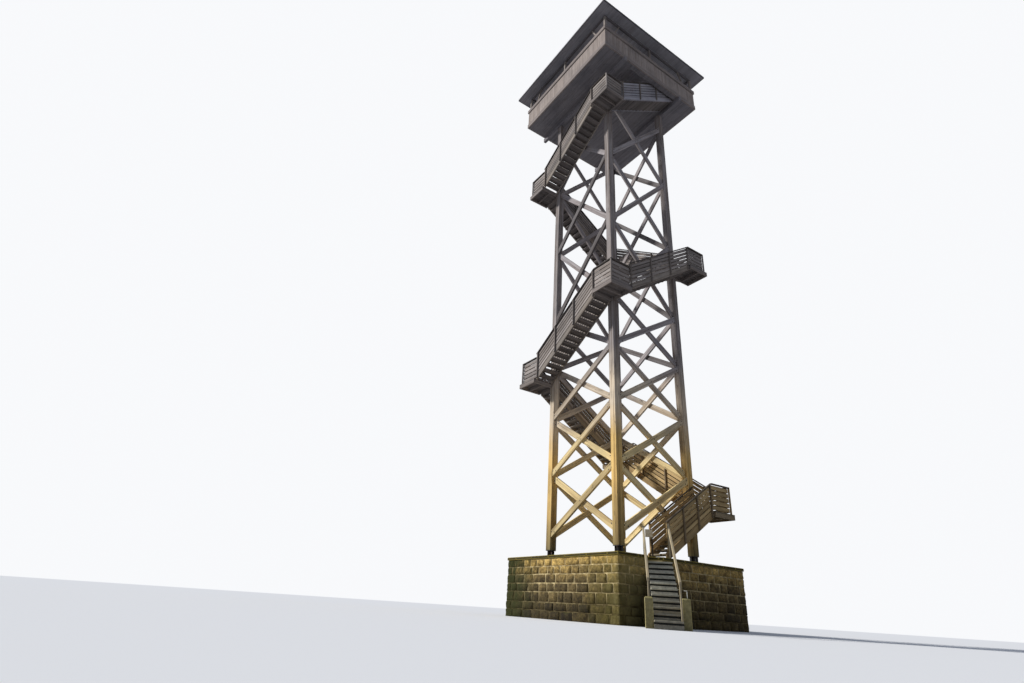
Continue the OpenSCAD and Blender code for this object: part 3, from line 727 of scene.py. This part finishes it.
boards = {
    # direction, pitch, gap and how far the width varies
    "deck": [((0, 1, 0), 0.145, 0.006, 0.06)], "soffit": [((1, 0, 0), 0.16, 0.004, 0.06)],
    "parapet": (0.135, 0.005, 0.12), "edge": 0.003, "stagger": 0.004,
}
for nodeName, name, finish, slotName, seed, kind in (
        ("landing_decks", "landingDecks", "treads", "tread_timber", 201, "deck"),
        ("cabin_deck", "cabinDeck", "treads", "tread_timber", 202, "deck"),
        ("cabin_soffit", "cabinSoffit", "soffit", "soffit_timber", 203, "soffit"),
        ("roof_ceiling", "ceilingBoards", "ceiling", "roof_timber", 206, "soffit")):
    dressedPiece(nodeName, name, finish, slotName, boards["edge"], seed, cuts=boards[kind])


def makeParapet():
    # upright boards, each set in or out by a few millimetres
    dice = random.Random(204)
    result = bmesh.new()
    for panel in splitParts(copyOf("parapet_panels")):
        along = longestEdge(looseParts(panel)[0])
        outward = Vector((sum(v.co.x for v in panel.verts), sum(v.co.y for v in panel.verts), 0))
        outward = (outward - along * outward.dot(along)).normalized()
        row = sawn(panel, (abs(along.x), abs(along.y), 0), *boards["parapet"], dice.randrange(1000))
        for part in looseParts(row):
            inset = dice.uniform(0, boards["stagger"])
            for vert in part:
                vert.co -= outward * inset
        addMesh(result, row)
    rounded(result, boards["edge"])
    finishPiece(result, "parapetBoards", "parapet", ["parapet_panels"], 205)


makeParapet()
print("boards sawn")


plinth = {
    "half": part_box("plinth_wall")[1].x, "top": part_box("plinth_wall")[1].z,
    "courses": [0.273, 0.259, 0.343, 0.282, 0.301, 0.264, 0.268],
    "notch": (-1.8, -1.15),    # where the entrance stair stands in the wall's face
    "stoneLength": (0.34, 0.8), "proud": (0.004, 0.03), "bulge": 0.016, "rough": 0.014, "slip": 0.009,
    "columns": 6, "rows": 4, "tightCorner": 0.97, "spread": (1.36, 1.72), "sunkRim": 0.004, "bite": 0.03,
    "quoinLong": (0.42, 0.6), "quoinShort": (0.24, 0.32), "quoinProud": (0.008, 0.02), "quoinSlip": 0.008,
    "quoinTop": (-0.006, 0.004), "quoinEdge": 0.016,
    "joint": 0.029, "jointWide": (0.015, 0.022), "pointing": 0.011, "pointingRough": (-0.004, 0.003),
    "pointingRim": 0.002, "waver": 0.4, "drift": 0.004, "jointEnd": 0.004, "bedEnd": 0.01, "bedStep": 0.11,
}


def anySeat(dice):
    return Vector([dice.uniform(0, 90) for _ in range(3)])


def closedTile(bm, grid, back):
    # pulls the rim of a sheet back behind the wall's face and closes it
    made = bmesh.ops.extrude_edge_only(grid, edges=[e for e in grid.edges if e.is_boundary])
    for vert in [g for g in made["geom"] if isinstance(g, bmesh.types.BMVert)]:
        vert.co.y = -plinth["half"] + back
    bmesh.ops.holes_fill(grid, edges=[e for e in grid.edges if e.is_boundary], sides=0)
    bmesh.ops.recalc_face_normals(grid, faces=grid.faces)
    addMesh(bm, grid)


def hewnStone(bm, left, right, low, high, dice):
    # a face stone on the entrance side: uneven outline, eased corners and a rough crowned face
    grid = bmesh.new()
    bmesh.ops.create_grid(grid, x_segments=plinth["columns"], y_segments=plinth["rows"], size=1.0)
    face = dice.uniform(*plinth["proud"])
    slip = {(u, v): (eitherWay(dice, 1), eitherWay(dice, 1)) for u in (-1, 1) for v in (-1, 1)}
    middle, reach = Vector(((left + right) / 2, (low + high) / 2)), Vector(((right - left) / 2, (high - low) / 2))
    seat = anySeat(dice)
    for vert in grid.verts:
        u, v = vert.co.x, vert.co.y
        rim = max(abs(u), abs(v)) > 0.999
        tight = plinth["tightCorner"] if min(abs(u), abs(v)) > 0.999 else 1.0
        spreadU, spreadV = (1.0, 1.0) if rim else plinth["spread"]
        x = middle.x + u * reach.x * tight * spreadU
        z = middle.y + v * reach.y * tight * spreadV
        for (cornerU, cornerV), (shiftX, shiftZ) in slip.items():
            share = (1 + u * cornerU) * (1 + v * cornerV) / 4
            x += shiftX * share * plinth["slip"]
            z += shiftZ * share * plinth["slip"] * (0 if low < 0.01 and cornerV < 0 else 1)
        rough = noise.noise(Vector((x, z, 0)) * 9 + seat) * plinth["rough"]
        depth = -plinth["sunkRim"] if rim else face + (1 - u * u) * (1 - v * v) * plinth["bulge"] + rough
        vert.co = (x, -plinth["half"] - depth, max(z, 0.0))
    closedTile(bm, grid, plinth["bite"])


def pointingStrip(bm, left, right, low, high, count, upright, dice):
    # a raised line of mortar with wavering edges
    grid = bmesh.new()
    columns, rows = (2, count) if upright else (count, 2)
    bmesh.ops.create_grid(grid, x_segments=columns, y_segments=rows, size=1.0)
    for vert in grid.verts:
        u, v = vert.co.x, vert.co.y
        across = u if upright else v
        waver = (1 + eitherWay(dice, plinth["waver"])) * across * plinth["jointWide"][1 if upright else 0]
        drift = eitherWay(dice, plinth["drift"])
        if upright:
            x, z = (left + right) / 2 + waver + drift, (low + high) / 2 + v * (high - low) / 2
        else:
            x, z = (left + right) / 2 + u * (right - left) / 2, (low + high) / 2 + waver + drift
        ridge = abs(across) < 0.9
        depth = plinth["pointing"] + dice.uniform(*plinth["pointingRough"]) if ridge else plinth["pointingRim"]
        vert.co = (x, -plinth["half"] - depth, z)
    closedTile(bm, grid, plinth["bite"] * 0.6)


def quoinStone(bm, corner, longer, shorter, low, high, proud, dice):
    # corner stone that shows on two sides, long on the one and short on the other
    block = bmesh.new()
    bmesh.ops.create_cube(block, size=1.0)
    half = plinth["half"] + proud
    for vert in block.verts:
        x = -half if vert.co.x < 0 else -plinth["half"] + longer + eitherWay(dice, plinth["quoinSlip"])
        y = -half if vert.co.y < 0 else -plinth["half"] + shorter + eitherWay(dice, plinth["quoinSlip"])
        vert.co = (x, y, low if vert.co.z < 0 else high + dice.uniform(*plinth["quoinTop"]))
    bmesh.ops.subdivide_edges(block, edges=block.edges[:], cuts=3, use_grid_fill=True)
    sharp = [e for e in block.edges if e.calc_face_angle() > 0.5]
    bmesh.ops.bevel(block, geom=sharp, offset=plinth["quoinEdge"], offset_type="OFFSET", segments=1,
                    profile=0.5, affect="EDGES", clamp_overlap=True, material=-1)
    seat = anySeat(dice)
    for vert in block.verts:
        push = noise.noise(vert.co * 8 + seat) * plinth["rough"]
        if vert.co.x < -plinth["half"] + 0.01:
            vert.co.x -= push
        if vert.co.y < -plinth["half"] + 0.01:
            vert.co.y -= push
    addMesh(bm, block, sideMatrix(corner))


def makeStonework():
    dice = random.Random(31)
    stones, pointing = bmesh.new(), bmesh.new()
    half, joint = plinth["half"], plinth["joint"]
    notchLeft, notchRight = plinth["notch"]
    scale = plinth["top"] / sum(plinth["courses"])
    beds = [0.0]
    for height in plinth["courses"]:
        beds.append(beds[-1] + height * scale)
    # corner c lies at the left end of side c: its stone takes reach[course][c] of side c and of side c - 1
    reach = []
    for course in range(len(beds) - 1):
        low, high = beds[course] + (joint / 2 if course else 0.0), beds[course + 1] - joint / 2
        row = []
        for corner in range(4):
            longer, shorter = dice.uniform(*plinth["quoinLong"]), dice.uniform(*plinth["quoinShort"])
            pair = (longer, shorter) if (course + corner) % 2 else (shorter, longer)
            row.append(pair)
            quoinStone(stones, corner, pair[0] - joint / 2, pair[1] - joint / 2, low, high,
                       dice.uniform(*plinth["quoinProud"]), dice)
        reach.append(row)
    for k in range(4):
        facing, lines = bmesh.new(), bmesh.new()
        for course in range(len(beds) - 1):
            bed, nextBed = beds[course], beds[course + 1]
            low, high = bed + (joint / 2 if course else 0.0), nextBed - joint / 2
            start, stop = -half + reach[course][k][0], half - reach[course][(k + 1) % 4][1]
            for a, b in [(start, stop)] if k else [(start, notchLeft), (notchRight, stop)]:
                cuts = [a]
                while cuts[-1] < b - 1e-4:
                    step = cuts[-1] + dice.uniform(*plinth["stoneLength"])
                    cuts.append(b if step > b - plinth["stoneLength"][0] * 0.8 else step)
                for left, right in zip(cuts, cuts[1:]):
                    hewnStone(facing, left + joint / 2, right - joint / 2, low, high, dice)
                for place in cuts if k else cuts[:-1] if a < notchLeft else cuts[1:]:
                    pointingStrip(lines, place, place, bed + plinth["jointEnd"], nextBed - plinth["jointEnd"],
                                  4, True, dice)
            start, stop = -half + plinth["bedEnd"], half - plinth["bedEnd"]
            for a, b in [(start, stop)] if k else [(start, notchLeft), (notchRight, stop)]:
                if course:
                    pointingStrip(lines, a, b, bed, bed, max(4, int((b - a) / plinth["bedStep"])), False, dice)
        addMesh(stones, facing, sideMatrix(k))
        addMesh(pointing, lines, sideMatrix(k))
    finishPiece(stones, "plinthStones", "wallStone", seed=301, smooth=True)
    finishPiece(pointing, "plinthPointing", "mortar", smooth=True)
    dressNode("plinth_wall", "mortar")


makeStonework()


slabs = {
    # node: (piece, finish, slot, eased edge, seed, facets of that edge, cuts, roughness)
    "plinth_floor": ("pavingFlags", "paving", "flagstones", 0.006, 401, 2,
                     [((1, 0, 0), 0.86, 0.012, 0.1), ((0, 1, 0), 0.62, 0.012, 0.1)], 0.003),
    "entrance_slabs": ("entranceSlabs", "stepStone", "step_stone", 0.012, 402, 2, (), 0.004),
    "bollards": ("stoneBollards", "bollards", "bollard_stone", 0.012, 403, 2, (), 0.004),
}
for nodeName, settings in slabs.items():
    dressedPiece(nodeName, *settings)


stair = {"top": (-1.2, -3.08), "turn": -45, "going": 0.3, "risers": 12, "first": 0.22, "slab": 0.055,
         "nosing": 0.045, "width": 0.764, "groove": 0.05, "proud": 0.012, "sunk": 0.02, "seat": 0.001, "edge": 0.005}


def makeRisers():
    # a riser stone under each slab, with a groove left above it, where the near-black step core gives painted shade
    bm = bmesh.new()
    rise = (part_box("plinth_coping")[1].z - stair["first"]) / (stair["risers"] - 1)
    place = (Matrix.Translation((*stair["top"], 0)) @ Matrix.Rotation(math.radians(stair["turn"]), 4, "Z")
             @ Matrix.Translation((0, -stair["going"] * (stair["risers"] - 1), 0)))
    for step in range(stair["risers"] - 1):
        low = stair["first"] + (step - 1) * rise + stair["seat"] if step else 0.0
        high = stair["first"] + step * rise - stair["slab"] - stair["groove"]
        face = step * stair["going"] + stair["nosing"]
        stone = bmesh.new()
        bmesh.ops.create_cube(stone, size=1.0)
        for vert in stone.verts:
            vert.co = (vert.co.x * stair["width"], face + (stair["sunk"] if vert.co.y > 0 else -stair["proud"]),
                       high if vert.co.z > 0 else low)
        addMesh(bm, stone, place)
    rounded(bm, stair["edge"])
    finishPiece(bm, "riserStones", "stepStone", seed=407)


makeRisers()


coping = {"cut": (1.02, 0.008, 0.15), "edge": 0.024, "rough": 0.005}


def makeCoping():
    # each side's coping is cut into slabs a metre or so long
    result = bmesh.new()
    dice = random.Random(404)
    for part in splitParts(copyOf("plinth_coping")):
        direction = (1, 0, 0) if abs(longestEdge(looseParts(part)[0]).x) > 0.5 else (0, 1, 0)
        addMesh(result, sawn(part, direction, *coping["cut"], dice.randrange(1000)))
    rounded(result, coping["edge"], 2)
    roughened(result, coping["rough"], 405, "plinth_coping")
    finishPiece(result, "copingSlabs", "coping", ["plinth_coping"], 406)


makeCoping()
# painted shade: the near-black core shows in the grooves under the slabs
dressNode("entrance_core", "stepCore")
print("stonework laid")


roof = {
    "pitch": math.radians(18), "half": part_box("roof_cover")[1].x, "eaves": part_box("roof_cover")[0].z,
    "overhang": 0.025,    # how far the sheets reach past the boarding
    # boards, sheets, seams and hips give the heights of their two faces over the slope
    "boardPitch": 0.15, "boardGap": 0.005, "boards": (0.002, 0.024), "leastBoard": 0.05, "apex": 0.012,
    "sheets": (0.026, 0.06), "seamEvery": 0.52, "seamWide": 0.018, "seams": (0.056, 0.084),
    "hipWide": 0.07, "hips": (0.05, 0.082), "hipEnd": 0.01, "edge": 0.002,
    "sheetApex": 0.004, "seamApex": 0.05, "hipApex": 0.03,
}


def slopeBox(bm, near, far, heights, corner):
    # a box on the entrance side's slope, between two distances from the middle and two heights over the slope
    # corner gives the plan of each of its points from the side it lies on and its distance
    box = bmesh.new()
    bmesh.ops.create_cube(box, size=1.0)
    low, high = heights
    for vert in box.verts:
        d = far if vert.co.y < 0 else near
        rise = (roof["half"] - roof["overhang"] - d) * math.tan(roof["pitch"])
        vert.co = (*corner(vert.co.x, d), roof["eaves"] + rise + (low if vert.co.z < 0 else high))
    addMesh(bm, box)


def mitred(side, d):
    return (d if side > 0 else -d), -d


def alongHip(side, d):
    across = side * roof["hipWide"] * 0.7071    # the hip runs at 45 degrees to the eaves
    return -d + across, -d - across


def makeRoof():
    boarding, sheets = bmesh.new(), bmesh.new()
    half = roof["half"]
    for k in range(4):
        planks, metal = bmesh.new(), bmesh.new()
        far = half - roof["overhang"]
        while far > roof["leastBoard"]:
            near = max(far - roof["boardPitch"] * math.cos(roof["pitch"]), roof["apex"])
            slopeBox(planks, near + roof["boardGap"], far, roof["boards"], mitred)
            far = near
        slopeBox(metal, roof["sheetApex"], half, roof["sheets"], mitred)
        count = int(half / roof["seamEvery"])
        for index in range(-count, count + 1):
            x = index * roof["seamEvery"]
            slopeBox(metal, abs(x) + roof["seamApex"], half, roof["seams"],
                     lambda side, d: (x + side * roof["seamWide"], -d))
        slopeBox(metal, roof["hipApex"], half - roof["hipEnd"], roof["hips"], alongHip)
        addMesh(boarding, planks, sideMatrix(k))
        addMesh(sheets, metal, sideMatrix(k))
    for bm in (boarding, sheets):
        bmesh.ops.recalc_face_normals(bm, faces=bm.faces)
        rounded(bm, roof["edge"])
    finishPiece(boarding, "roofBoarding", "roofTimber", ["roof_cover"], 501)
    finishPiece(sheets, "roofSheets", "roofSheet")


makeRoof()
print("roof covered")


dressedPiece("post_shoes", "postShoes", "steel", "dark_steel", 0.002)


bolts = {"braceSize": 0.013, "railSize": 0.01, "fromEnd": 0.14, "spread": 0.055, "slant": 1.3,
         "railHeights": (0.07, 0.19), "outerBars": 2.0, "washer": 1.9, "washerThick": 0.004, "headThick": 0.75,
         "sunk": 0.002, "taper": 0.96}


def boltHead(bm, place, outward, radius):
    # washer and six-sided head
    turn = outward.to_track_quat("Z", "Y").to_matrix().to_4x4()
    middle = bolts["washerThick"]
    for sides, size, low, high in ((12, radius * bolts["washer"], -bolts["sunk"], middle),
                                   (6, radius, middle, middle + radius * bolts["headThick"])):
        spot = Matrix.Translation(place) @ turn @ Matrix.Translation((0, 0, (low + high) / 2))
        bmesh.ops.create_cone(bm, cap_ends=True, segments=sides, radius1=size, radius2=size * bolts["taper"],
                              depth=high - low, matrix=spot)


def reachOf(part, centre, direction):
    return max((vert.co - centre).dot(direction) for vert in part)


def makeBraceBolts():
    # two bolts at each end of a bar, and one where the outer bars cross the inner ones
    bm = bmesh.new()
    for k, facing in enumerate(("front", "right", "back", "left")):
        source = copyOf("braces_" + facing)
        outward = sideMatrix(k) @ Vector((0, -1, 0))
        for part in looseParts(source):
            along, centre = longestEdge(part), middleOf(part)
            face = outward * reachOf(part, centre, outward)
            length = reachOf(part, centre, along)
            normal = along.cross(outward)
            for end in (-1, 1):
                for step in (-1, 1):
                    inward = bolts["fromEnd"] + bolts["spread"] * (step + 1) * bolts["slant"]
                    spot = centre + along * end * (length - inward)
                    boltHead(bm, spot + normal * step * bolts["spread"] + face, outward, bolts["braceSize"])
            if centre.dot(outward) > bolts["outerBars"]:
                boltHead(bm, centre + face, outward, bolts["braceSize"])
        source.free()
    finishPiece(bm, "braceBolts", "steel")


makeBraceBolts()


def makeRailBolts():
    # two bolts through each rail post into the stringer
    bm = bmesh.new()
    source = copyOf("rail_posts")
    for part in looseParts(source):
        if heightOf(part) < flights["shortPost"]:
            continue
        centre, low = middleOf(part), min(vert.co.z for vert in part)
        outward = Vector((centre.x, 0, 0)) if abs(centre.x) > abs(centre.y) else Vector((0, centre.y, 0))
        outward.normalize()
        face = outward * reachOf(part, centre, outward)
        for up in bolts["railHeights"]:
            boltHead(bm, Vector((centre.x, centre.y, low + up)) + face, outward, bolts["railSize"])
    source.free()
    finishPiece(bm, "railBolts", "steel")


makeRailBolts()
dressNode("bollard_hook", "hookSteel")
dressedPiece("notice_board", "noticeBoard", "notice", "notice_sheet", 0.003, segments=2)
dressedPiece("notice_post", "noticePost", "handrails", "dark_steel", 0.004, 601, 2)
print("steel and notice made")


studio = {
    "cameraPlace": (-16.085, -16.629, 0.262), "yaw": -32.176, "pitch": 26.009, "roll": 3.755,
    "lens": 19.21, "sunFrom": (-0.6, 0.66, 0.42), "sunStrength": 3.95, "sunAngle": 5.0,
    "sunColour": (1.0, 0.985, 0.96), "skyColour": (0.76, 0.87, 1.1), "skyStrength": 0.27,
    "backdrop": (0.94, 0.95, 0.97), "floorSize": 900.0, "floorPale": 0.95, "floorBounce": (0.385, 0.38, 0.385),
}


def directView(tree):
    # one where the camera, a gloss or a clear material looks, nothing for the light that falls on the tower
    path = put(tree, "LightPath")
    both = sums(tree, "MAXIMUM", path.outputs["Is Camera Ray"], path.outputs["Is Glossy Ray"])
    return sums(tree, "MAXIMUM", both, path.outputs["Is Transmission Ray"])


def makeStudio():
    world = bpy.data.worlds.new("softSky")
    scene.world = world
    world.use_nodes = True
    tree = world.node_tree
    tree.nodes.clear()
    sky = put(tree, "Background", {"Color": (*studio["skyColour"], 1), "Strength": studio["skyStrength"]})
    backdrop = put(tree, "Background", {"Color": (*studio["backdrop"], 1), "Strength": 1.0})
    mix = put(tree, "MixShader", {0: directView(tree), 1: sky.outputs[0], 2: backdrop.outputs[0]})
    put(tree, "OutputWorld", {"Surface": mix.outputs[0]})

    bm = bmesh.new()
    bmesh.ops.create_grid(bm, x_segments=1, y_segments=1, size=studio["floorSize"] / 2)
    floor = addObject("studioFloor", toMesh(bm, "studioFloor"))
    material = bpy.data.materials.new("paleFloor")
    material.use_nodes = True
    tree = material.node_tree
    tree.nodes.clear()
    pale = studio["floorPale"]
    colour = blend(tree, directView(tree), (*studio["floorBounce"], 1), (pale, pale, pale, 1))
    diffuse = put(tree, "BsdfDiffuse", {"Color": colour})
    put(tree, "OutputMaterial", {"Surface": diffuse.outputs[0]})
    floor.data.materials.append(material)

    sun = bpy.data.lights.new("keyLight", "SUN")
    sun.energy = studio["sunStrength"]
    sun.angle = math.radians(studio["sunAngle"])
    sun.color = studio["sunColour"]
    lamp = addObject("keyLight", sun)
    lamp.rotation_euler = Vector(studio["sunFrom"]).to_track_quat("Z", "Y").to_euler()

    lens = bpy.data.cameras.new("photoView")
    lens.lens = studio["lens"]
    lens.sensor_width = 36.0
    lens.clip_end = 2000.0
    camera = addObject("photoView", lens)
    turn = (Matrix.Rotation(math.radians(studio["yaw"]), 4, "Z")
            @ Matrix.Rotation(math.radians(90 + studio["pitch"]), 4, "X")
            @ Matrix.Rotation(math.radians(studio["roll"]), 4, "Z"))
    camera.matrix_world = Matrix.Translation(studio["cameraPlace"]) @ turn
    scene.camera = camera
    scene.view_settings.view_transform = "Standard"


makeStudio()
print("studio ready")
